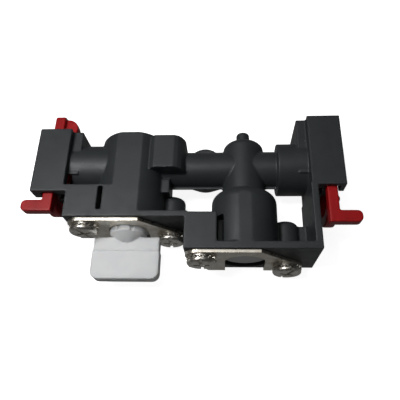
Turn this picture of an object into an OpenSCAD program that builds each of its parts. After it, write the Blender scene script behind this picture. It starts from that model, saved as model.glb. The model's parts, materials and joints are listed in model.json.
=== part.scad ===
// Diverter valve for a boiler's pipework, in millimetres.
// Origin: centre of the branch port's mouth on the base plane. +X runs to the right
// socket, +Y to the back, +Z up. The pipe run, both valve chambers and both clips
// are centred on the middle of the body's thickness.

/* [Body] */
// Thickness of the body, from its base plane to its top
body_h = 28; // [28:0.5:29]
// Outer radius of the tube between the chambers
tube_r = 8.4; // [8.2:0.1:8.8]
// Outer radius of the stub behind the left socket
stub_r = 11.7; // [11.4:0.1:11.8]
// Radius of the water passage
passage_r = 5.5; // [5:0.1:5.6]

/* [Chambers] */
// Place of the shut-off chamber's axis along X
left_x = -32.8; // [-33:0.1:-32.5]
// Outer radius of the shut-off chamber
left_chamber_r = 15.1; // [15:0.1:15.5]
// Place of the bypass chamber's axis along X
right_x = 17.6; // [17.4:0.1:17.8]
// Outer radius of the bypass chamber's wide front part
right_chamber_r = 14.25; // [14:0.05:14.5]
// Outer radius of the bypass chamber's narrow back part
right_neck_r = 9.2; // [9.1:0.1:9.4]

/* [Sockets] */
// Radius of each socket's sealing bore, for a 14 mm spigot
socket_r = 7.15; // [7.1:0.05:7.2]
// Radius of each socket's mouth
mouth_r = 9.2; // [9:0.1:9.4]
// Radius of the branch port's bore, for a 12 mm spigot
branch_r = 6.1; // [6.05:0.05:6.15]

/* [Knob] */
// Width of the knob's paddle
paddle_w = 28.8; // [26:0.2:29]
// Thickness of the knob's paddle
paddle_t = 5.8; // [5:0.1:6.5]
// Radius of the knob's neck
neck_r = 8; // [7.8:0.1:8]

/* [Retaining plates] */
// Thickness of each retaining plate
plate_t = 1.6; // [1.5:0.1:2]
// Width of the notch in each plate
notch_w = 16.9; // [16.7:0.1:17.2]

/* [Clips] */
// How far the right clip stands out of its socket from fully home
right_clip_out = 7.6; // [6:0.2:8]

/* [Hidden] */
$fn = 96;

mid_z = body_h / 2;
run_y = -4;
skin = 0.01;
through = 1;

// Ends and walls of the two socket blocks
left_end_x = -74.3;
left_block_x = -59.8;
left_step_x = -55.5;
left_front_y = -20.3;
left_back_y = 10.9;
left_step_h = body_h - 3.3;
step_front_y = -10.5;
right_step_x = 41.1;
right_block_x = 45.4;
right_end_x = 59.7;
right_front_y = -17.7;
right_back_y = 16.1;
right_step_h = body_h - 3.5;
collar_x = 32.3;
collar_r = 11.8;

// Flanges that the retaining plates are screwed to
left_flange_y = -32;
right_flange_y = -45.6;
flange_t = 2.7;
flange_split_x = -7.4;
left_flange_x = -58.6;
right_flange_x = 47.7;
left_web_back_y = -17.1;
right_web_back_y = -29.8;
rib_x = 45;

// Screws, with their places measured from each chamber's axis
screw_dx = 17.9;
screw_dz = 6.5;
screw_r = 2.5;
insert_r = 3.4;
insert_l = 9;
boss_r = 6;
boss_l = 17.7;
head_r = 6.1;
head_h = 1.9;
washer_r = 5.6;
flat_washer_t = 0.6;
spring_washer_t = 1;
spring_washer_r = 4.9;
shank_l = 10.5;

// Clip slots
clip_w = 4.5;
clip_leg_h = 4.6;
clip_half_gap = 7;
left_clip_outset = 5;
right_clip_outset = 3.4;
barb_reach = 5.8;
barb_z = 4.5;
barb_h = 4.8;
slot_gap = 0.4;
detent_h = 0.7;

// Shut-off valve
left_bore_r = 11.3;
left_bore_end = 3.8;
rotor_r = 11.2;
rotor_front = -12.6;
rotor_back = 3.4;
stem_r = 6.5;
pivot_r = 3;
drive_w = 7;
seat_r = 7.3;

// Bypass cartridge
wide_bore_r = 9.5;
wide_mouth_r = 12;
wide_mouth_l = 2.4;
wide_bore_end = -22;
neck_bore_r = 6.3;
neck_bore_end = 4.2;
sleeve_r = 6.25;
sleeve_bore_r = 5;
orifice_r = 3;
seat_y = -3.4;
poppet_r = 4.5;
poppet_t = 1.4;
poppet_collar_y = -24;
guide_r = 1.5;
spring_wire_r = 0.35;
spring_r = 3.6;
spring_turns = 6;

// Colours
body_colour = "dimgray";
red = "firebrick";
steel = "silver";
rubber = "black";
white = "white";

// ---- Shapes that repeat -------------------------------------------------

module x_cylinder(x_from, x_to, y, z, radius) {
    translate([x_from, y, z])
        rotate([0, 90, 0])
            cylinder(r = radius, h = x_to - x_from);
}

module y_cylinder(y_from, y_to, x, z, radius) {
    translate([x, y_from, z])
        rotate([-90, 0, 0])
            cylinder(r = radius, h = y_to - y_from);
}

// A box between two opposite corners
module block(from, to) {
    translate(from)
        cube(to - from);
}

// A profile of [radius, y] points turned about a line along Y
module turned_along_y(x, points) {
    translate([x, 0, mid_z])
        rotate([-90, 0, 0])
            rotate_extrude()
                polygon(points);
}

module ring_along_y(x, y, radius, section_r) {
    translate([x, y, mid_z])
        rotate([-90, 0, 0])
            rotate_extrude()
                translate([radius, 0])
                    circle(r = section_r, $fn = 32);
}

module ring_along_x(x, radius, section_r) {
    translate([x, run_y, mid_z])
        rotate([0, 90, 0])
            rotate_extrude()
                translate([radius, 0])
                    circle(r = section_r, $fn = 32);
}

// Points of an arc from one angle to another
function arc(centre, radius, from, to, steps = 8) = [
    for (i = [0:steps])
        let (angle = from + (to - from) * i / steps)
            centre + radius * [cos(angle), sin(angle)]
];

// The two screw places of a plate centred on x
function screw_places(x) = [
    [x - screw_dx, mid_z + screw_dz],
    [x + screw_dx, mid_z - screw_dz]
];

// ---- Valve body ---------------------------------------------------------

module socket_blocks() {
    block([left_end_x, left_front_y, 0], [left_block_x, left_back_y, body_h]);
    block([left_block_x - skin, step_front_y, 0], [left_step_x, left_back_y, left_step_h]);
    block([right_block_x, right_front_y, 0], [right_end_x, right_back_y, body_h]);
    block([right_step_x, step_front_y, 0], [right_block_x + skin, right_back_y, right_step_h]);
}

module pipe_run() {
    x_cylinder(left_block_x - through, left_x, run_y, mid_z, stub_r);
    x_cylinder(left_x, right_x, run_y, mid_z, tube_r);
    x_cylinder(right_x, collar_x + through, run_y, mid_z, tube_r);
    x_cylinder(collar_x, right_block_x + through, run_y, mid_z, collar_r);
}

left_back_end = 8.8;
shoulder_y = -22;
dome_y = 5.5;
dome_h = 4.7;
tip_r = 3.05;
tip_y = 15;

module left_chamber() {
    edge_r = 1;
    turned_along_y(left_x, concat(
        [[0, left_flange_y], [left_chamber_r, left_flange_y]],
        arc([left_chamber_r - edge_r, left_back_end - edge_r], edge_r, 0, 90),
        [[0, left_back_end]]
    ));
    // square back corner beside the lug
    block([left_x, run_y, 4], [-25.2, left_back_end, body_h - 3]);
    // gusset between the chamber, the tube and the lower screw's boss
    block([left_x + left_chamber_r - 2, -17.5, 8], [-15.2, -11, 20]);
}

module right_chamber() {
    shoulder_r = right_chamber_r - right_neck_r;
    dome = [
        for (i = [0:12])
            let (angle = 90 * i / 12)
                [right_neck_r * cos(angle), dome_y + dome_h * sin(angle)]
    ];
    turned_along_y(right_x, concat(
        [[0, right_flange_y], [right_chamber_r, right_flange_y]],
        arc([right_neck_r, shoulder_y], shoulder_r, 0, 90, 12),
        dome
    ));
    turned_along_y(right_x, concat(
        [[0, dome_y], [tip_r, dome_y]],
        arc([tip_r - 1, tip_y - 1], 1, 0, 90),
        [[0, tip_y]]
    ));
}

// Square lug over the tube, between the left chamber and the branch port
module lug() {
    lug_front = -9.1;
    lug_back = 7;
    profile = [
        [-25, 10], [-25, 24.6], [-23.5, 26.5], [-21.8, body_h], [-13.1, body_h],
        [-11.3, body_h - 0.7], [-9.8, body_h - 2.3], [-8.7, body_h - 4.6],
        [-8.3, body_h - 6.2], [-8.3, 10]
    ];
    translate([0, lug_back, 0])
        rotate([90, 0, 0])
            linear_extrude(lug_back - lug_front)
                polygon(profile);
}

module flanges() {
    block([left_flange_x, left_flange_y, 0],
          [flange_split_x + through, left_flange_y + flange_t, body_h]);
    difference() {
        block([flange_split_x, right_flange_y, 0],
              [right_flange_x, right_flange_y + flange_t + 0.4, body_h]);
        translate([right_flange_x - 3, right_flange_y - through, 0])
            rotate([0, atan(3 / 4.7), 0])
                translate([0, 0, -10])
                    cube([10, 10, 20]);
    }
}

// Solid webs that carry the upper screws
module webs() {
    left_web_x = left_x - 5;
    block([left_flange_x, left_flange_y, 0], [left_web_x, left_web_back_y, body_h]);
    block([left_block_x - through, left_front_y, 0],
          [left_flange_x + through, left_web_back_y, body_h]);
    block([flange_split_x, right_flange_y, 0], [8.7, right_web_back_y, body_h]);
    block([rib_x, right_flange_y, 0], [rib_x + 2.9, right_front_y + through, body_h]);
}

// A round boss behind a flange, with its back edge rounded
module boss(place, flange_y, length) {
    edge_r = 2.5;
    translate([place[0], 0, place[1]])
        rotate([-90, 0, 0])
            rotate_extrude()
                polygon(concat(
                    [[0, flange_y], [boss_r, flange_y]],
                    arc([boss_r - edge_r, flange_y + length - edge_r], edge_r, 0, 90),
                    [[0, flange_y + length]]
                ));
}

// Round bosses that carry the lower screws; a web joins the right one to the rib
module bosses() {
    right_boss = screw_places(right_x)[1];
    boss(screw_places(left_x)[1], left_flange_y, boss_l - 1.6);
    boss(right_boss, right_flange_y, boss_l);
    block([right_boss[0] - 1, right_flange_y, 5],
          [rib_x + through, right_flange_y + boss_l - 1.5, 9]);
}

// Ridge along the mould's parting plane, on the tube and the narrow chamber
module parting_ridge() {
    ridge_w = 0.8;
    ridge_h = 0.3;
    front_ridge_h = 1.1;
    block([left_x, run_y - tube_r - front_ridge_h, mid_z - ridge_w / 2],
          [collar_x, run_y + tube_r + ridge_h, mid_z + ridge_w / 2]);
    block([right_x - right_neck_r - ridge_h, shoulder_y, mid_z - ridge_w / 2],
          [right_x + right_neck_r + ridge_h, dome_y, mid_z + ridge_w / 2]);
}

module branch_port() {
    cylinder(r = 8, h = 3);
    translate([0, 0, 2.5])
        hull() {
            cylinder(r = 9.9, h = 5.5, $fn = 64);
            for (side = [-1, 1])
                translate([side * 4.4, 0, 0])
                    cylinder(r = 8.6, h = 5.5, $fn = 32);
        }
    cylinder(r = 7.7, h = mid_z);
}

module body_outside() {
    intersection() {
        union() {
            socket_blocks();
            pipe_run();
            left_chamber();
            right_chamber();
            lug();
            flanges();
            webs();
            bosses();
            parting_ridge();
            branch_port();
        }
        block([left_end_x - 10, right_flange_y - 10, 0], [right_end_x + 10, 30, body_h]);
    }
}

ring_pocket_l = 2.3;
mouth_l = 15.7;
left_mouth_end = left_end_x + mouth_l;
right_mouth_end = right_end_x - mouth_l;

module run_bores() {
    x_cylinder(left_end_x - through, left_mouth_end + ring_pocket_l, run_y, mid_z, mouth_r);
    x_cylinder(left_mouth_end, left_x - 14.5, run_y, mid_z, socket_r);
    x_cylinder(left_x - 15, right_x, run_y, mid_z, passage_r);
    x_cylinder(right_x, right_step_x, run_y, mid_z, passage_r);
    x_cylinder(right_step_x - 7.2, right_mouth_end, run_y, mid_z, socket_r);
    x_cylinder(right_mouth_end - ring_pocket_l, right_end_x + through, run_y, mid_z, mouth_r);
}

module seat_pockets() {
    x_cylinder(left_x - 14.2, left_x + 14.2, run_y, mid_z, seat_r + 0.05);
}

module chamber_bores() {
    y_cylinder(left_flange_y - through, left_bore_end, left_x, mid_z, left_bore_r);
    y_cylinder(left_bore_end - skin, left_bore_end + 2, left_x, mid_z, pivot_r + 0.05);
    y_cylinder(right_flange_y - through, wide_bore_end, right_x, mid_z, wide_bore_r);
    y_cylinder(right_flange_y - through, right_flange_y + wide_mouth_l, right_x, mid_z,
               wide_mouth_r);
    y_cylinder(wide_bore_end - skin, neck_bore_end, right_x, mid_z, neck_bore_r);
}

module branch_bore() {
    translate([0, 0, -through])
        cylinder(r = branch_r, h = 7 + through);
    cylinder(r = passage_r, h = mid_z);
    translate([0, 0, 4.6])
        cylinder(r = 7.2, h = 1.8);
}

// Slots through a socket block for a clip's legs, barbs and bend, for a block whose
// mouth is at x = 0 and opens to -X, with the clip's outer side at x = outset. The
// outer wall is open at its lower front corner.
module clip_slots(front_y, back_y, outset) {
    outer_x = outset - detent_h - slot_gap;
    leg_inner_x = outset + clip_w + slot_gap;
    bend_depth = 2.6;
    leg_top = clip_half_gap + clip_leg_h + 0.2;
    barb_low = barb_z - slot_gap;
    barb_high = barb_z + barb_h + slot_gap;
    corner_y = 9;
    corner_z = 20.6;
    for (flip = [0, 1])
        translate([0, 0, mid_z])
            mirror([0, 0, flip]) {
                block([outer_x, front_y - through, 4.2],
                      [leg_inner_x, back_y + through, leg_top]);
                block([outer_x, front_y - through, barb_low],
                      [leg_inner_x + barb_reach, back_y + through, barb_high]);
            }
    block([outer_x, front_y - through, mid_z - leg_top],
          [leg_inner_x, front_y + bend_depth, mid_z + leg_top]);
    block([-through, front_y - through, -through],
          [outer_x + skin, front_y + corner_y, corner_z]);
}

module body_slots() {
    translate([left_end_x, 0, 0])
        clip_slots(left_front_y, left_back_y, left_clip_outset);
    translate([right_end_x, 0, 0])
        mirror([1, 0, 0])
            clip_slots(right_front_y, right_back_y, right_clip_outset);
}

// Sunk reliefs in the top of both webs
module web_reliefs() {
    block([-44.5, -28.6, body_h - 6], [-42.6, -18, body_h + through]);
    block([6, -42.5, body_h - 9], [8.7 + skin, right_web_back_y - skin, body_h + through]);
}

// Coring of the webs, open to the base plane
module web_cores() {
    block([-56, -29, -through], [-47.5, -19.5, 9]);
    block([-5, -42, -through], [2, -32, 9]);
}

module insert_holes() {
    for (place = screw_places(left_x))
        y_cylinder(left_flange_y - through, left_flange_y + 13, place[0], place[1], insert_r);
    for (place = screw_places(right_x))
        y_cylinder(right_flange_y - through, right_flange_y + 13, place[0], place[1], insert_r);
}

module valve_body() {
    color(body_colour)
        difference() {
            body_outside();
            run_bores();
            seat_pockets();
            chamber_bores();
            branch_bore();
            body_slots();
            web_reliefs();
            web_cores();
            insert_holes();
        }
}

// ---- Shut-off valve -----------------------------------------------------

knob_back = left_flange_y - 0.1;
shoulder_front = -43.3;
paddle_back = -37.2;
paddle_front = -55.3;

// A paddle outline of the given width between two Y places, with round front corners
module paddle_outline(width, y_from, y_to, corner_r) {
    half = width / 2;
    polygon(concat(
        [[-half, y_to]],
        arc([-half + corner_r, y_from + corner_r], corner_r, 180, 270),
        arc([half - corner_r, y_from + corner_r], corner_r, 270, 360),
        [[half, y_to]]
    ));
}

module knob() {
    groove_angles = [21, -24, 201, 156];
    groove_w = 1.4;
    neck_end = paddle_back + 1.6;
    taper_end = paddle_back - 2.2;
    color(white)
        difference() {
            union() {
                y_cylinder(neck_end, knob_back, left_x, mid_z, neck_r);
                turned_along_y(left_x, [
                    [0, taper_end], [3.2, taper_end], [neck_r, neck_end], [0, neck_end]
                ]);
                translate([left_x, 0, mid_z - paddle_t / 2])
                    linear_extrude(paddle_t)
                        paddle_outline(paddle_w, paddle_front, shoulder_front, 3.2);
                translate([left_x, 0, mid_z - paddle_t / 2 + 0.3])
                    linear_extrude(paddle_t - 0.6)
                        paddle_outline(paddle_w - 0.6, shoulder_front - 1, paddle_back, 0.5);
            }
            for (angle = groove_angles)
                translate([left_x, 0, mid_z])
                    rotate([0, angle, 0])
                        translate([-groove_w / 2, neck_end - skin, neck_r - 0.9])
                            cube([groove_w, knob_back - neck_end + through, 2]);
            block([left_x - drive_w / 2 - 0.05, -38, mid_z - drive_w / 2 - 0.05],
                  [left_x + drive_w / 2 + 0.05, knob_back + through, mid_z + drive_w / 2 + 0.05]);
        }
}

module rotor() {
    groove_y = [-24, -19];
    color("ivory")
        difference() {
            union() {
                y_cylinder(rotor_front, rotor_back, left_x, mid_z, rotor_r);
                y_cylinder(left_flange_y, rotor_front + skin, left_x, mid_z, stem_r);
                y_cylinder(rotor_back - skin, left_bore_end + 1.8, left_x, mid_z, pivot_r);
                block([left_x - drive_w / 2, -37.8, mid_z - drive_w / 2],
                      [left_x + drive_w / 2, left_flange_y + skin, mid_z + drive_w / 2]);
            }
            x_cylinder(left_x - 12, left_x + 12, run_y, mid_z, passage_r);
            for (y = groove_y)
                translate([left_x, y - 0.9, mid_z])
                    rotate([-90, 0, 0])
                        difference() {
                            cylinder(r = stem_r + 1, h = 1.8);
                            translate([0, 0, -through])
                                cylinder(r = stem_r - 1.3, h = 1.8 + 2 * through);
                        }
        }
}

module rotor_stem_o_rings() {
    color(rubber)
        for (y = [-24, -19])
            ring_along_y(left_x, y, stem_r - 0.62, 0.66);
}

// Seat rings of the rotor, one on each side, with faces curved to the rotor
module rotor_seat_rings() {
    color(white)
        for (side = [-1, 1])
            difference() {
                x_cylinder(min(side * 7, side * 12.4) + left_x, max(side * 7, side * 12.4) + left_x,
                           run_y, mid_z, seat_r);
                x_cylinder(left_x - 20, left_x + 20, run_y, mid_z, passage_r);
                y_cylinder(-20, 10, left_x, mid_z, rotor_r + 0.05);
            }
}

module seat_backing_rings() {
    color(rubber)
        for (side = [-1, 1])
            ring_along_x(left_x + side * 13.3, 6.4, 0.85);
}

module gland_bush() {
    bush_back = rotor_front - 0.4;
    color("gainsboro")
        difference() {
            y_cylinder(left_flange_y + 0.05, bush_back, left_x, mid_z, left_bore_r - 0.05);
            y_cylinder(left_flange_y - through, bush_back + through, left_x, mid_z, stem_r + 0.06);
            translate([left_x, -17, mid_z])
                rotate([-90, 0, 0])
                    difference() {
                        cylinder(r = left_bore_r + through, h = 2.2);
                        translate([0, 0, -through])
                            cylinder(r = left_bore_r - 1.8, h = 2.2 + 2 * through);
                    }
        }
}

module gland_o_ring() {
    color(rubber)
        ring_along_y(left_x, -15.9, left_bore_r - 0.88, 0.85);
}

// ---- Retaining plates and their fasteners -------------------------------

// A plate in front of a flange, with rounded ends round the screws and a notch below
module retaining_plate(x, flange_y) {
    end_r = 5.2;
    end_centre = [screw_dx + 1.6, -7.8];
    outline = concat(
        [[-18.2, 13], [6.2, 13]],
        arc(end_centre, end_r, 36, -90, 12),
        [[-16, -13]],
        arc(-end_centre, end_r, 216, 90, 12)
    );
    color(steel)
        translate([x, flange_y, mid_z])
            rotate([90, 0, 0])
                linear_extrude(plate_t)
                    difference() {
                        polygon(outline);
                        circle(d = notch_w);
                        translate([-notch_w / 2, -20])
                            square([notch_w, 20]);
                        for (side = [-1, 1])
                            translate(side * [-screw_dx, screw_dz])
                                circle(r = screw_r + 0.3);
                    }
}

module left_retaining_plate() {
    retaining_plate(left_x, left_flange_y);
}

module right_retaining_plate() {
    retaining_plate(right_x, right_flange_y);
}

// Pan-head screws with a slot through the head and a cross recess over it, each slot
// turned by its own angle; under_head_y is the seat of the head
module screws(x, under_head_y, slot_angles) {
    slot_w = 1.3;
    slot_l = 2 * head_r + 1;
    cross_l = 6.4;
    color(steel)
        for (i = [0, 1])
            translate([screw_places(x)[i][0], under_head_y, screw_places(x)[i][1]])
                rotate([90, 0, 0])
                    difference() {
                        union() {
                            rotate_extrude()
                                polygon(concat(
                                    [[0, 0], [head_r, 0]],
                                    arc([head_r - 1.3, head_h - 1.3], 1.3, 0, 90),
                                    [[0, head_h]]
                                ));
                            translate([0, 0, -shank_l])
                                cylinder(r = screw_r, h = shank_l + skin);
                        }
                        rotate([0, 0, slot_angles[i]]) {
                            translate([-slot_l / 2, -slot_w / 2, head_h - 1.1])
                                cube([slot_l, slot_w, 2]);
                            translate([-slot_w / 2, -cross_l / 2, head_h - 1.5])
                                cube([slot_w, cross_l, 2]);
                        }
                    }
}

// Two washers of the given thickness whose front faces lie at front_y
module washers(x, front_y, thickness, radius) {
    color(steel)
        for (place = screw_places(x))
            difference() {
                y_cylinder(front_y, front_y + thickness, place[0], place[1], radius);
                y_cylinder(front_y - through, front_y + thickness + through,
                           place[0], place[1], screw_r + 0.15);
            }
}

left_stack_y = left_flange_y - plate_t - flat_washer_t;
right_stack_y = right_flange_y - plate_t - flat_washer_t;

module left_plate_screws() {
    screws(left_x, left_stack_y - spring_washer_t, [110, 88]);
}

module right_plate_screws() {
    screws(right_x, right_stack_y - spring_washer_t, [92, 70]);
}

module left_flat_washers() {
    washers(left_x, left_stack_y, flat_washer_t, washer_r);
}

module right_flat_washers() {
    washers(right_x, right_stack_y, flat_washer_t, washer_r);
}

module left_spring_washers() {
    washers(left_x, left_stack_y - spring_washer_t, spring_washer_t, spring_washer_r);
}

module right_spring_washers() {
    washers(right_x, right_stack_y - spring_washer_t, spring_washer_t, spring_washer_r);
}

module threaded_inserts() {
    color("goldenrod")
        for (plate = [[left_x, left_flange_y], [right_x, right_flange_y]])
            for (place = screw_places(plate[0]))
                difference() {
                    y_cylinder(plate[1] + 0.3, plate[1] + insert_l, place[0], place[1],
                               insert_r - 0.02);
                    y_cylinder(plate[1] - through, plate[1] + insert_l + through,
                               place[0], place[1], screw_r + 0.05);
                }
}

// ---- Socket clips -------------------------------------------------------

// A clip for the left socket, with its finger's centre at y = 0 and its outer side at x = 0.
// Both legs run to +Y, joined by a half-round bend; the finger points to -X.
module clip_shape() {
    leg_l = 45.3;
    bend_y = 11.4;
    bend_r = clip_half_gap + clip_leg_h;
    finger_w = 5.2;
    finger_l = 9;
    tip_r = 1.8;
    module legs_side_view() {
        difference() {
            union() {
                translate([bend_y, 0])
                    circle(r = bend_r);
                translate([bend_y, -bend_r])
                    square([leg_l - bend_y - tip_r, 2 * bend_r]);
                for (side = [-1, 1])
                    translate([leg_l - tip_r, side * (bend_r - tip_r)])
                        circle(r = tip_r);
                translate([leg_l - tip_r - skin, -bend_r + tip_r])
                    square([tip_r + skin, 2 * (bend_r - tip_r)]);
                translate([-finger_w / 2, clip_half_gap])
                    square([bend_y + finger_w / 2, clip_leg_h]);
            }
            translate([bend_y, 0])
                circle(r = clip_half_gap);
            translate([bend_y, -clip_half_gap])
                square([leg_l, 2 * clip_half_gap]);
        }
    }
    module finger() {
        translate([0, 0, clip_half_gap])
            linear_extrude(clip_leg_h)
                polygon(concat(
                    [[1, finger_w / 2]],
                    arc([-finger_l + 2.2, finger_w / 2 - 2.2], 2.2, 90, 180),
                    arc([-finger_l + 2.2, -finger_w / 2 + 2.2], 2.2, 180, 270),
                    [[1, -finger_w / 2]]
                ));
    }
    module barb() {
        barb_l = 8.3;
        reach = clip_w + barb_reach;
        translate([0, leg_l, barb_z])
            linear_extrude(barb_h)
                polygon(concat(
                    [[clip_w - 1, -0.4], [clip_w - 1, -barb_l], [reach - 0.6, -barb_l]],
                    arc([reach - 5.2, -5.8], 5.2, 0, 90, 10)
                ));
    }
    // the profile's first axis becomes Y and its second becomes Z
    rotate([90, 0, 90])
        linear_extrude(clip_w)
            legs_side_view();
    finger();
    for (flip = [0, 1])
        mirror([0, 0, flip])
            barb();
    // detent on the outer side of the upper leg
    detent_r = 1.6;
    translate([detent_r - detent_h, 8, clip_half_gap + clip_leg_h / 2])
        cylinder(r = detent_r, h = 3, center = true);
}

left_finger_y = -25.8;
right_finger_y = -23.2 - right_clip_out;

module left_clip() {
    color(red)
        translate([left_end_x + left_clip_outset, left_finger_y, mid_z])
            clip_shape();
}

module right_clip() {
    color(red)
        translate([right_end_x - right_clip_outset, right_finger_y, mid_z])
            mirror([1, 0, 0])
                clip_shape();
}

// ---- Socket and port seals ----------------------------------------------

module left_socket_o_ring() {
    color(rubber)
        ring_along_x(left_mouth_end + 1.15, 8.08, 1.08);
}

module right_socket_o_ring() {
    color(rubber)
        ring_along_x(right_mouth_end - 1.15, 8.08, 1.08);
}

module branch_port_o_ring() {
    color(rubber)
        translate([0, 0, 5.5])
            rotate_extrude()
                translate([6.6, 0])
                    circle(r = 0.58, $fn = 32);
}

// ---- Bypass cartridge ---------------------------------------------------

plug_front = right_flange_y + 0.7;
plug_back = -30;
plug_groove_y = -33;
spring_pocket = 4;

// Pads at both sides of the plug that bear on the back of the retaining plate
module plug_pads() {
    pad_h = 6;
    intersection() {
        y_cylinder(right_flange_y + 0.05, plug_front + through, right_x, mid_z,
                   wide_bore_r - 0.1);
        for (side = [-1, 1])
            block([right_x + side * 10 - 1.4, right_flange_y, mid_z - pad_h / 2],
                  [right_x + side * 10 + 1.4, plug_front + through, mid_z + pad_h / 2]);
    }
}

module cartridge_plug() {
    guide_l = 8;
    color("gainsboro")
        difference() {
            union() {
                y_cylinder(plug_front, plug_back, right_x, mid_z, wide_bore_r - 0.1);
                plug_pads();
            }
            // spring pocket and guide for the poppet's stem
            y_cylinder(plug_back - spring_pocket, plug_back + through, right_x, mid_z,
                       spring_r + 0.7);
            y_cylinder(plug_back - spring_pocket - guide_l, plug_back, right_x, mid_z,
                       guide_r + 0.05);
            translate([right_x, plug_groove_y - 1.1, mid_z])
                rotate([-90, 0, 0])
                    difference() {
                        cylinder(r = wide_bore_r + through, h = 2.2);
                        translate([0, 0, -through])
                            cylinder(r = wide_bore_r - 1.8, h = 2.2 + 2 * through);
                    }
        }
}

module plug_o_ring() {
    color(rubber)
        ring_along_y(right_x, plug_groove_y, wide_bore_r - 0.9, 0.85);
}

sleeve_front = -29.8;
sleeve_back = 4;

// Sleeve with a flange in the wide bore, an inlet window at the back and outlet at the front
module cartridge_sleeve() {
    flange_back = wide_bore_end - 0.1;
    color("whitesmoke")
        difference() {
            union() {
                y_cylinder(flange_back - 2.4, sleeve_back, right_x, mid_z, sleeve_r);
                y_cylinder(sleeve_front, flange_back, right_x, mid_z, wide_bore_r - 0.1);
            }
            y_cylinder(sleeve_front - through, flange_back - 2.4, right_x, mid_z, wide_bore_r - 2);
            y_cylinder(flange_back - 2.4 - skin, seat_y - 1, right_x, mid_z, sleeve_bore_r);
            y_cylinder(seat_y - 1 - skin, seat_y + 1, right_x, mid_z, orifice_r);
            y_cylinder(seat_y + 1 - skin, sleeve_back + through, right_x, mid_z, sleeve_bore_r);
            block([right_x - 8, seat_y + 1, mid_z - 3], [right_x, sleeve_back - 1, mid_z + 3]);
            block([right_x, -9.5, mid_z - 3], [right_x + 8, seat_y - 1.2, mid_z + 3]);
            for (y = [-20, -13])
                translate([right_x, y - 0.8, mid_z])
                    rotate([-90, 0, 0])
                        difference() {
                            cylinder(r = sleeve_r + through, h = 1.6);
                            translate([0, 0, -through])
                                cylinder(r = sleeve_r - 0.9, h = 1.6 + 2 * through);
                        }
        }
}

module sleeve_o_rings() {
    color(rubber)
        for (y = [-20, -13])
            ring_along_y(right_x, y, sleeve_r - 0.4, 0.44);
}

poppet_face = seat_y - 1.55;

module poppet() {
    color("gainsboro")
        difference() {
            union() {
                y_cylinder(poppet_face - poppet_t, poppet_face, right_x, mid_z, poppet_r);
                y_cylinder(-37.5, poppet_face, right_x, mid_z, guide_r);
                y_cylinder(poppet_collar_y, -22.5, right_x, mid_z, poppet_r);
            }
            translate([right_x, poppet_face - 0.6, mid_z])
                rotate([-90, 0, 0])
                    difference() {
                        cylinder(r = 4, h = 2);
                        translate([0, 0, -through])
                            cylinder(r = 2.8, h = 4);
                    }
        }
}

module poppet_seal() {
    color(rubber)
        difference() {
            y_cylinder(poppet_face - 0.58, seat_y - 1.02, right_x, mid_z, 3.95);
            y_cylinder(poppet_face - 2, seat_y, right_x, mid_z, 2.85);
        }
}

spring_front = plug_back - spring_pocket + spring_wire_r + 0.05;
spring_back = poppet_collar_y - spring_wire_r - 0.05;

// A point on the coil; t runs from 0 at its front end to 1 at its back end
function coil_centre(t) = [
    spring_r * cos(360 * spring_turns * t),
    spring_front + (spring_back - spring_front) * t,
    spring_r * sin(360 * spring_turns * t)
];

module poppet_spring() {
    steps = 24 * spring_turns;
    sides = 8;
    rings = [
        for (i = [0:steps])
            let (t = i / steps, angle = 360 * spring_turns * t)
                for (j = [0:sides - 1])
                    let (a = 360 * j / sides)
                        coil_centre(t) + spring_wire_r
                            * [cos(a) * cos(angle), sin(a), cos(a) * sin(angle)]
    ];
    walls = [
        for (i = [0:steps - 1])
            for (j = [0:sides - 1])
                let (k = (j + 1) % sides)
                    [i * sides + j, i * sides + k, (i + 1) * sides + k, (i + 1) * sides + j]
    ];
    front_cap = [for (j = [sides - 1:-1:0]) j];
    back_cap = [for (j = [0:sides - 1]) steps * sides + j];
    color(steel)
        translate([right_x, 0, mid_z])
            polyhedron(rings, concat(walls, [front_cap, back_cap]));
}

// ---- What is drawn ------------------------------------------------------

valve_body();
knob();
rotor();
rotor_stem_o_rings();
rotor_seat_rings();
seat_backing_rings();
gland_bush();
gland_o_ring();
left_retaining_plate();
right_retaining_plate();
left_plate_screws();
right_plate_screws();
left_spring_washers();
right_spring_washers();
left_flat_washers();
right_flat_washers();
threaded_inserts();
left_clip();
right_clip();
left_socket_o_ring();
right_socket_o_ring();
branch_port_o_ring();
cartridge_plug();
plug_o_ring();
cartridge_sleeve();
sleeve_o_rings();
poppet();
poppet_seal();
poppet_spring();
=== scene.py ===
"""Looks of the diverter valve: a dark moulded body with two valve chambers, red socket
clips, plated retaining plates with screws, and a milky turning knob.

Every length is in metres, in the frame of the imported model.
"""

import json
import math

import bmesh
import bpy
from mathutils import Matrix, Vector


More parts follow.
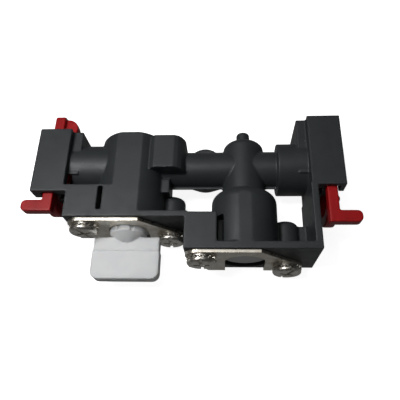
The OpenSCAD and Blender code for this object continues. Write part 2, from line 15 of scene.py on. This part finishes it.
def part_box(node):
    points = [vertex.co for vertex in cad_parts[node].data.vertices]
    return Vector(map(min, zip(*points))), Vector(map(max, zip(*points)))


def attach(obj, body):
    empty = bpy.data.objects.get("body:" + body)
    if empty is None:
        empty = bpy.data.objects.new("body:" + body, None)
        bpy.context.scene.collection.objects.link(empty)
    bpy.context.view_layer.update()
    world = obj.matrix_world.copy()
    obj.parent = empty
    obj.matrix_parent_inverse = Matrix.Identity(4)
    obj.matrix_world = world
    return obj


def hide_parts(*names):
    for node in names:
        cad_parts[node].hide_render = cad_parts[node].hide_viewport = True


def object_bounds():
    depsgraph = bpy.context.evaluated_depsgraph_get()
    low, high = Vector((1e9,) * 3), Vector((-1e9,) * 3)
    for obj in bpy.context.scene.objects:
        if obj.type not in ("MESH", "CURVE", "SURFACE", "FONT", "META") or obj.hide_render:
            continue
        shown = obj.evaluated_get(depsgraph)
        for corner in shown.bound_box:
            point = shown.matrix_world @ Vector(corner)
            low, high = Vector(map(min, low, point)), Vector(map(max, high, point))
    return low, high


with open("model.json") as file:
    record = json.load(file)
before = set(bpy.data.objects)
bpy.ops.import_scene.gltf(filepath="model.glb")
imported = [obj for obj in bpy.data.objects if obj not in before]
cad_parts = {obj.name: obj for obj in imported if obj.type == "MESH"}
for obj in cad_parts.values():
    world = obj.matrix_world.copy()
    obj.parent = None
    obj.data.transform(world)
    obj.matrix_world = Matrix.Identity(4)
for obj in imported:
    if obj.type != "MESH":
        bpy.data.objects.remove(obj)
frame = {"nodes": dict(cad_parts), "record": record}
cad_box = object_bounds()
nodes = frame["nodes"]
MM = 0.001

# Edge rounding of the CAD nodes: voxel size in metres and relaxing passes
EDGE_ROUNDING = {
    "valve_body": (0.30 * MM, 5),
    "knob": (0.16 * MM, 14),
    "left_clip": (0.22 * MM, 30),
    "right_clip": (0.22 * MM, 30),
    "left_retaining_plate": (0.14 * MM, 4),
    "right_retaining_plate": (0.14 * MM, 4),
    "left_plate_screws": (0.12 * MM, 4),
    "right_plate_screws": (0.12 * MM, 4),
    "cartridge_plug": (0.16 * MM, 4),
}

# Toothed lock washers: the root is the CAD ring's outer radius
WASHER_INNER_R = 2.65 * MM
WASHER_ROOT_R = 4.9 * MM
WASHER_TIP_R = 6.3 * MM
WASHER_TEETH = 16
STEPS_PER_TOOTH = 6

# Studio: place, diameter and power of each softbox, and the light from all round
SOFTBOXES = {
    "key": ((-0.15, -0.01, 0.33), 0.14, 0.60),
    "overhead": ((-0.04, 0.06, 0.60), 0.40, 0.36),
    "back_panel": ((-0.06, 0.22, 0.34), 0.26, 0.05),
}
LIGHT_TARGET = (-0.01, -0.02, 0.01)
FILL_FROM_BELOW = 0.16
FILL_FROM_ABOVE = 0.045
BACKDROP = 1.0
FLOOR_HALF_WIDTH = 3.0
FLOOR_GLOW = 0.9

# Camera: its axes in the part's frame, its place and its lens in millimetres
CAMERA_RIGHT = (0.99808486, 0.02226971, -0.05771191)
CAMERA_UP = (0.00325967, 0.91272041, 0.40857169)
CAMERA_BACK = (0.06177361, -0.40797734, 0.91089984)
CAMERA_PLACE = (0.010502, -0.100865, 0.197610)
CAMERA_LENS = 40.563
CAMERA_SENSOR = 36


# ---- Node-tree helpers ---------------------------------------------------


def new_material(name, **sockets):
    """A material whose Principled shader has the given sockets, and its tree's helpers."""
    material = bpy.data.materials.new(name)
    material.use_nodes = True
    tree = material.node_tree
    shader = tree.nodes["Principled BSDF"]
    for socket, value in sockets.items():
        shader.inputs[socket.replace("_", " ")].default_value = value
    return material, tree, shader


def object_coordinates(tree):
    return tree.nodes.new("ShaderNodeTexCoord").outputs["Object"]


def noise(tree, scale, detail=2.0, roughness=0.5, stretch=None):
    """A noise texture's value over object coordinates, stretched per axis if asked."""
    vector = object_coordinates(tree)
    if stretch:
        mapping = tree.nodes.new("ShaderNodeMapping")
        mapping.inputs["Scale"].default_value = stretch
        tree.links.new(vector, mapping.inputs["Vector"])
        vector = mapping.outputs["Vector"]
    texture = tree.nodes.new("ShaderNodeTexNoise")
    texture.inputs["Scale"].default_value = scale
    texture.inputs["Detail"].default_value = detail
    texture.inputs["Roughness"].default_value = roughness
    tree.links.new(vector, texture.inputs["Vector"])
    return texture.outputs["Fac"]


def ramp(tree, value, low, high, low_colour, high_colour):
    """A colour ramp between two places of a value."""
    node = tree.nodes.new("ShaderNodeValToRGB")
    node.color_ramp.elements[0].position = low
    node.color_ramp.elements[0].color = (*low_colour, 1)
    node.color_ramp.elements[1].position = high
    node.color_ramp.elements[1].color = (*high_colour, 1)
    tree.links.new(value, node.inputs["Fac"])
    return node.outputs["Color"]


def map_range(tree, value, from_low, from_high, to_low, to_high):
    node = tree.nodes.new("ShaderNodeMapRange")
    node.inputs["From Min"].default_value = from_low
    node.inputs["From Max"].default_value = from_high
    node.inputs["To Min"].default_value = to_low
    node.inputs["To Max"].default_value = to_high
    tree.links.new(value, node.inputs["Value"])
    return node.outputs["Result"]


def mix(tree, factor, a, b):
    """Colour a where factor is 0 and b where it is 1. a is a socket, b a colour."""
    node = tree.nodes.new("ShaderNodeMix")
    node.data_type = "RGBA"
    tree.links.new(factor, node.inputs["Factor"])
    tree.links.new(a, node.inputs[6])
    node.inputs[7].default_value = (*b, 1)
    return node.outputs[2]


def bump(tree, shader, layers):
    """Bumps one over another: each layer is (height value, strength, distance)."""
    normal = None
    for height, strength, distance in layers:
        node = tree.nodes.new("ShaderNodeBump")
        node.inputs["Strength"].default_value = strength
        node.inputs["Distance"].default_value = distance
        tree.links.new(height, node.inputs["Height"])
        if normal:
            tree.links.new(normal, node.inputs["Normal"])
        normal = node.outputs["Normal"]
    tree.links.new(normal, shader.inputs["Normal"])


def specks(tree, cells, radius, share):
    """1 inside small round dots, one in each of a share of Voronoi cells, else 0."""
    texture = tree.nodes.new("ShaderNodeTexVoronoi")
    texture.inputs["Scale"].default_value = cells
    tree.links.new(object_coordinates(tree), texture.inputs["Vector"])
    inside = map_range(tree, texture.outputs["Distance"], radius, radius * 0.6, 0, 1)
    chosen = tree.nodes.new("ShaderNodeMath")
    chosen.operation = "GREATER_THAN"
    chosen.inputs[1].default_value = 1 - share
    tree.links.new(texture.outputs["Color"], chosen.inputs[0])
    both = tree.nodes.new("ShaderNodeMath")
    both.operation = "MULTIPLY"
    tree.links.new(inside, both.inputs[0])
    tree.links.new(chosen.outputs[0], both.inputs[1])
    return both.outputs[0]


# ---- Materials -----------------------------------------------------------


def body_plastic():
    """Glass-filled dark grey moulding: satin, with a fine grain and a few pale specks."""
    material, tree, shader = new_material("body_plastic", Specular_IOR_Level=0.42)
    patches = noise(tree, 70, 3)
    colour = ramp(tree, patches, 0.3, 0.7, (0.030, 0.034, 0.037), (0.039, 0.044, 0.047))
    colour = mix(tree, specks(tree, 190, 0.055, 0.22), colour, (0.10, 0.11, 0.11))
    tree.links.new(colour, shader.inputs["Base Color"])
    gloss = map_range(tree, noise(tree, 240, 4), 0.3, 0.7, 0.40, 0.52)
    tree.links.new(gloss, shader.inputs["Roughness"])
    bump(tree, shader, [
        (noise(tree, 900, 2), 0.25, 0.06 * MM),
        (noise(tree, 4200, 2), 0.30, 0.03 * MM),
    ])
    return material


def red_plastic():
    """Glossy red moulding with faint flow marks along the legs."""
    material, tree, shader = new_material("red_plastic", Specular_IOR_Level=0.3)
    flow = noise(tree, 160, 3, stretch=(1, 0.25, 1))
    colour = ramp(tree, flow, 0.3, 0.7, (0.36, 0.006, 0.008), (0.46, 0.010, 0.012))
    tree.links.new(colour, shader.inputs["Base Color"])
    gloss = map_range(tree, noise(tree, 500, 3), 0.3, 0.7, 0.34, 0.46)
    tree.links.new(gloss, shader.inputs["Roughness"])
    bump(tree, shader, [(noise(tree, 650, 2), 0.20, 0.05 * MM)])
    return material


def milky_plastic():
    """Translucent white moulding that light sinks into."""
    material, tree, shader = new_material(
        "milky_plastic", Subsurface_Weight=0.9, Subsurface_Scale=3 * MM,
        Specular_IOR_Level=0.4,
    )
    shader.inputs["Subsurface Radius"].default_value = (1.0, 0.95, 0.9)
    cloud = noise(tree, 120, 3)
    colour = ramp(tree, cloud, 0.3, 0.7, (0.82, 0.83, 0.84), (0.87, 0.88, 0.875))
    tree.links.new(colour, shader.inputs["Base Color"])
    gloss = map_range(tree, noise(tree, 420, 3), 0.3, 0.7, 0.36, 0.48)
    tree.links.new(gloss, shader.inputs["Roughness"])
    bump(tree, shader, [
        (noise(tree, 260, 2), 0.15, 0.10 * MM),
        (noise(tree, 2600, 2), 0.20, 0.02 * MM),
    ])
    return material


def nickel_steel():
    """Punched steel with a dull nickel plating that is brownish in places."""
    material, tree, shader = new_material("nickel_steel", Metallic=1.0)
    stains = noise(tree, 260, 4, roughness=0.6)
    colour = ramp(tree, stains, 0.32, 0.68, (0.58, 0.53, 0.44), (0.78, 0.75, 0.68))
    tree.links.new(colour, shader.inputs["Base Color"])
    gloss = map_range(tree, noise(tree, 700, 4, roughness=0.6), 0.3, 0.7, 0.24, 0.46)
    tree.links.new(gloss, shader.inputs["Roughness"])
    bump(tree, shader, [
        (noise(tree, 500, 3), 0.35, 0.08 * MM),
        (noise(tree, 3000, 2, stretch=(0.15, 1, 1)), 0.25, 0.02 * MM),
    ])
    return material


def bright_steel():
    """Zinc-plated screws and washers, bright on their rims."""
    material, tree, shader = new_material("bright_steel", Metallic=1.0)
    stains = noise(tree, 380, 4, roughness=0.6)
    colour = ramp(tree, stains, 0.32, 0.68, (0.54, 0.50, 0.43), (0.78, 0.76, 0.71))
    tree.links.new(colour, shader.inputs["Base Color"])
    gloss = map_range(tree, noise(tree, 900, 3), 0.3, 0.7, 0.24, 0.40)
    tree.links.new(gloss, shader.inputs["Roughness"])
    bump(tree, shader, [(noise(tree, 700, 2), 0.20, 0.05 * MM)])
    return material


def black_rubber():
    material, tree, shader = new_material("black_rubber", Specular_IOR_Level=0.35)
    colour = ramp(tree, noise(tree, 300, 3), 0.3, 0.7, (0.008, 0.008, 0.009), (0.016,) * 3)
    tree.links.new(colour, shader.inputs["Base Color"])
    gloss = map_range(tree, noise(tree, 1200, 3), 0.3, 0.7, 0.38, 0.56)
    tree.links.new(gloss, shader.inputs["Roughness"])
    bump(tree, shader, [(noise(tree, 2400, 2), 0.2, 0.02 * MM)])
    return material


def moulded(name, dark, light, rough_low, rough_high):
    """A plain moulded plastic of one colour, with soft patches and a fine grain."""
    material, tree, shader = new_material(name, Specular_IOR_Level=0.4)
    colour = ramp(tree, noise(tree, 150, 3), 0.3, 0.7, dark, light)
    tree.links.new(colour, shader.inputs["Base Color"])
    gloss = map_range(tree, noise(tree, 600, 3), 0.3, 0.7, rough_low, rough_high)
    tree.links.new(gloss, shader.inputs["Roughness"])
    bump(tree, shader, [(noise(tree, 2200, 2), 0.2, 0.02 * MM)])
    return material


def metal(name, dark, light, rough_low, rough_high):
    """A plain metal of one colour, with turning marks."""
    material, tree, shader = new_material(name, Metallic=1.0)
    colour = ramp(tree, noise(tree, 400, 3), 0.3, 0.7, dark, light)
    tree.links.new(colour, shader.inputs["Base Color"])
    gloss = map_range(tree, noise(tree, 900, 3), 0.3, 0.7, rough_low, rough_high)
    tree.links.new(gloss, shader.inputs["Roughness"])
    bump(tree, shader, [(noise(tree, 1800, 2, stretch=(0.2, 1, 1)), 0.25, 0.02 * MM)])
    return material


MATERIALS = {
    "body_plastic": body_plastic(),
    "red_plastic": red_plastic(),
    "milky_plastic": milky_plastic(),
    "nickel_steel": nickel_steel(),
    "bright_steel": bright_steel(),
    "black_rubber": black_rubber(),
    "ivory_plastic": moulded("ivory_plastic", (0.56, 0.52, 0.42), (0.64, 0.60, 0.50), 0.35, 0.5),
    "white_seat": moulded("white_seat", (0.68, 0.68, 0.66), (0.75, 0.75, 0.73), 0.3, 0.42),
    "grey_plastic": moulded("grey_plastic", (0.22, 0.22, 0.22), (0.27, 0.27, 0.27), 0.4, 0.55),
    "white_plug": moulded("white_plug", (0.66, 0.67, 0.66), (0.74, 0.75, 0.73), 0.4, 0.55),
    "insert_brass": metal("insert_brass", (0.62, 0.44, 0.16), (0.74, 0.55, 0.24), 0.25, 0.4),
    "spring_steel": metal("spring_steel", (0.46, 0.46, 0.45), (0.62, 0.62, 0.61), 0.2, 0.35),
}

for subpart in frame["record"]["subparts"]:
    skin = nodes[subpart["node"]].data.materials
    skin.clear()
    skin.append(MATERIALS[subpart["material_slot"]])


# ---- Rounded edges on the CAD pieces --------------------------------------


def round_edges(name, voxel, passes):
    """Re-meshes a CAD node evenly and relaxes it, so every edge and corner is rounded."""
    remesh = nodes[name].modifiers.new("even mesh", "REMESH")
    remesh.mode = "VOXEL"
    remesh.voxel_size = voxel
    remesh.use_smooth_shade = True
    relax = nodes[name].modifiers.new("relax", "SMOOTH")
    relax.factor = 0.5
    relax.iterations = passes


for name, (voxel, passes) in EDGE_ROUNDING.items():
    round_edges(name, voxel, passes)


# ---- Toothed lock washers under the screw heads ---------------------------


def toothed_washer(name, centre, thickness):
    """A lock washer about an axis along Y, with teeth twisted out of its plane."""
    twist = 0.5 * thickness
    mesh = bmesh.new()
    rings = []
    for i in range(WASHER_TEETH * STEPS_PER_TOOTH):
        angle = 2 * math.pi * i / (WASHER_TEETH * STEPS_PER_TOOTH)
        phase = (i % STEPS_PER_TOOTH) / STEPS_PER_TOOTH
        is_tooth = phase < 0.5
        radius = WASHER_TIP_R if is_tooth else WASHER_ROOT_R
        lean = twist * (phase * 4 - 0.8) if is_tooth else 0
        half = 0.30 * thickness
        column = []
        for r, y in (
            (WASHER_INNER_R, -half), (WASHER_ROOT_R, -half), (radius, lean - half),
            (radius, lean + half), (WASHER_ROOT_R, half), (WASHER_INNER_R, half),
        ):
            y = max(-0.5 * thickness, min(0.5 * thickness, y))
            place = centre + Vector((r * math.cos(angle), y, r * math.sin(angle)))
            column.append(mesh.verts.new(place))
        rings.append(column)
    for a, b in zip(rings, rings[1:] + rings[:1]):
        for j in range(len(a)):
            k = (j + 1) % len(a)
            corners = []
            for v in (a[j], a[k], b[k], b[j]):
                if all((v.co - c.co).length > 1e-9 for c in corners):
                    corners.append(v)
            if len(corners) > 2:
                mesh.faces.new(corners)
    bmesh.ops.remove_doubles(mesh, verts=mesh.verts, dist=1e-6)
    bmesh.ops.recalc_face_normals(mesh, faces=mesh.faces)
    data = bpy.data.meshes.new(name)
    mesh.to_mesh(data)
    mesh.free()
    washer = bpy.data.objects.new(name, data)
    bpy.context.scene.collection.objects.link(washer)
    data.materials.append(MATERIALS["bright_steel"])
    bevel = washer.modifiers.new("worn edges", "BEVEL")
    bevel.width = 0.06 * MM
    bevel.segments = 2
    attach(washer, "valve")
    return washer


for side in ("left", "right"):
    node = side + "_spring_washers"
    low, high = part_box(node)
    middle_y = (low.y + high.y) / 2
    places = {
        "upper": (low.x + WASHER_ROOT_R, high.z - WASHER_ROOT_R),
        "lower": (high.x - WASHER_ROOT_R, low.z + WASHER_ROOT_R),
    }
    for place, (x, z) in places.items():
        washer = toothed_washer(
            f"{side}_{place}_lock_washer", Vector((x, middle_y, z)), high.y - low.y
        )
        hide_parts(node)


# ---- Floor, light and camera ----------------------------------------------


def pale_floor():
    """Glowing pale plane just below the part, seen by the camera but not in reflections."""
    half = FLOOR_HALF_WIDTH
    z = cad_box[0][2] - 0.1 * MM
    data = bpy.data.meshes.new("floor")
    corners = [(-half, -half, z), (half, -half, z), (half, half, z), (-half, half, z)]
    data.from_pydata(corners, [], [(0, 1, 2, 3)])
    floor = bpy.data.objects.new("floor", data)
    bpy.context.scene.collection.objects.link(floor)
    material, tree, shader = new_material("pale_floor", Roughness=0.9)
    shader.inputs["Base Color"].default_value = (0.9, 0.9, 0.9, 1)
    shader.inputs["Emission Color"].default_value = (1, 1, 1, 1)
    shader.inputs["Emission Strength"].default_value = FLOOR_GLOW
    data.materials.append(material)
    floor.visible_diffuse = False
    floor.visible_glossy = False


def softbox(name, place, size, power):
    data = bpy.data.lights.new(name, "AREA")
    data.shape = "DISK"
    data.size = size
    data.energy = power
    light = bpy.data.objects.new(name, data)
    light.location = place
    light.visible_camera = False
    aim = Vector(LIGHT_TARGET) - Vector(place)
    light.rotation_euler = aim.to_track_quat("-Z", "Y").to_euler()
    bpy.context.scene.collection.objects.link(light)


def studio():
    """White backdrop for the camera, a weak fill that is stronger from below, and softboxes."""
    scene = bpy.context.scene
    scene.world = bpy.data.worlds.new("studio")
    scene.world.use_nodes = True
    background = scene.world.node_tree.nodes["Background"]
    background.inputs["Color"].default_value = (1, 1, 1, 1)
    tree = scene.world.node_tree
    split = tree.nodes.new("ShaderNodeSeparateXYZ")
    coordinates = tree.nodes.new("ShaderNodeTexCoord")
    tree.links.new(coordinates.outputs["Generated"], split.inputs["Vector"])
    fill = map_range(tree, split.outputs["Z"], -0.4, 0.1, FILL_FROM_BELOW, FILL_FROM_ABOVE)
    path = tree.nodes.new("ShaderNodeLightPath")
    strength = tree.nodes.new("ShaderNodeMix")
    tree.links.new(path.outputs["Is Camera Ray"], strength.inputs["Factor"])
    tree.links.new(fill, strength.inputs["A"])
    strength.inputs["B"].default_value = BACKDROP
    tree.links.new(strength.outputs["Result"], background.inputs["Strength"])
    for name, (place, size, power) in SOFTBOXES.items():
        softbox(name, place, size, power)
    scene.view_settings.view_transform = "Standard"


def photo_camera():
    """Camera without shift or depth of field."""
    data = bpy.data.cameras.new("camera")
    data.lens = CAMERA_LENS
    data.sensor_width = CAMERA_SENSOR
    data.clip_start = 0.01
    camera = bpy.data.objects.new("camera", data)
    turn = Matrix((CAMERA_RIGHT, CAMERA_UP, CAMERA_BACK)).transposed()
    camera.matrix_world = Matrix.Translation(CAMERA_PLACE) @ turn.to_4x4()
    bpy.context.scene.collection.objects.link(camera)
    bpy.context.scene.camera = camera


pale_floor()
studio()
photo_camera()
